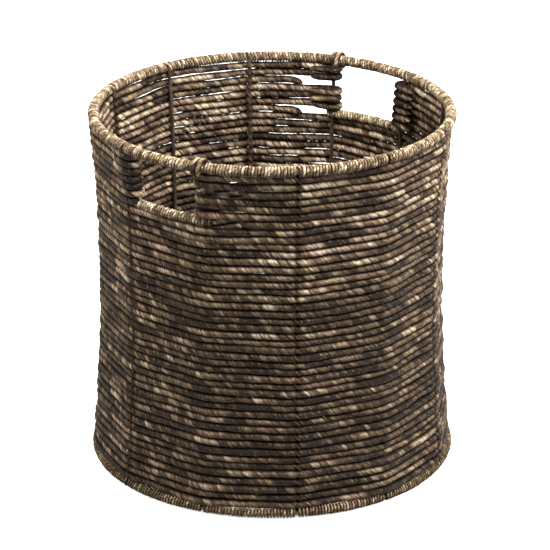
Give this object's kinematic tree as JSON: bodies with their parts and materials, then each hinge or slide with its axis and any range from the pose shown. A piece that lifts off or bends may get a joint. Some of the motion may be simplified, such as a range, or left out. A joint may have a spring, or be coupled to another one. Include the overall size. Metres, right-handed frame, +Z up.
{
  "type": "round storage basket",
  "caption": "Round storage basket of twisted seagrass rope courses laced on a welded wire frame, with a cut-out handle on each side.",
  "frame": {"origin": "centre of the circle that the base binding stands on", "axes": "+Z up through the open top, +X and -X through the middles of the two handle windows"},
  "size_m": [0.3858, 0.3858, 0.3866],
  "materials": {
    "frame_wire": "round steel wire, dark brown powder coat, satin",
    "seagrass_rope": "twisted dyed seagrass rope, dull, dark grey-brown with tan and near-black patches",
    "binding_cord": "fine twisted straw-coloured cord wound closely round the wire, dull",
    "lacing_strand": "thin brown waxed strand"
  },
  "bodies": {
    "root": {"rim_ring": "frame_wire", "base_ring": "frame_wire", "rib_1": "frame_wire", "rib_2": "frame_wire", "rib_3": "frame_wire", "rib_4": "frame_wire", "rib_5": "frame_wire", "rib_6": "frame_wire", "rib_7": "frame_wire", "rib_8": "frame_wire", "rib_9": "frame_wire", "rib_10": "frame_wire", "rib_11": "frame_wire", "rib_12": "frame_wire", "handle_bar_left": "frame_wire", "handle_bar_right": "frame_wire", "base_hub_ring": "frame_wire", "base_spokes": "frame_wire", "rim_binding": "binding_cord", "base_binding": "binding_cord", "handle_binding_left": "binding_cord", "handle_binding_right": "binding_cord", "course_1": "seagrass_rope", "course_2": "seagrass_rope", "course_3": "seagrass_rope", "course_4": "seagrass_rope", "course_5": "seagrass_rope", "course_6": "seagrass_rope", "course_7": "seagrass_rope", "courses_8_9": "seagrass_rope", "courses_10_11": "seagrass_rope", "courses_12_13": "seagrass_rope", "courses_14_15": "seagrass_rope", "courses_16_17": "seagrass_rope", "courses_18_19": "seagrass_rope", "courses_20_21": "seagrass_rope", "courses_22_23": "seagrass_rope", "courses_24_25": "seagrass_rope", "courses_26_27": "seagrass_rope", "courses_28_29": "seagrass_rope", "courses_30_31": "seagrass_rope", "courses_32_33": "seagrass_rope", "courses_34_35": "seagrass_rope", "courses_36_37": "seagrass_rope", "courses_38_39": "seagrass_rope", "courses_40_41": "seagrass_rope", "courses_42_43": "seagrass_rope", "courses_44_45": "seagrass_rope", "rim_hitches": "seagrass_rope", "lacing_1": "lacing_strand", "lacing_2": "lacing_strand", "lacing_3": "lacing_strand", "lacing_4": "lacing_strand", "lacing_5": "lacing_strand", "lacing_6": "lacing_strand", "base_mat": "seagrass_rope", "base_mat_ties": "lacing_strand"}
  },
  "joints": []
}
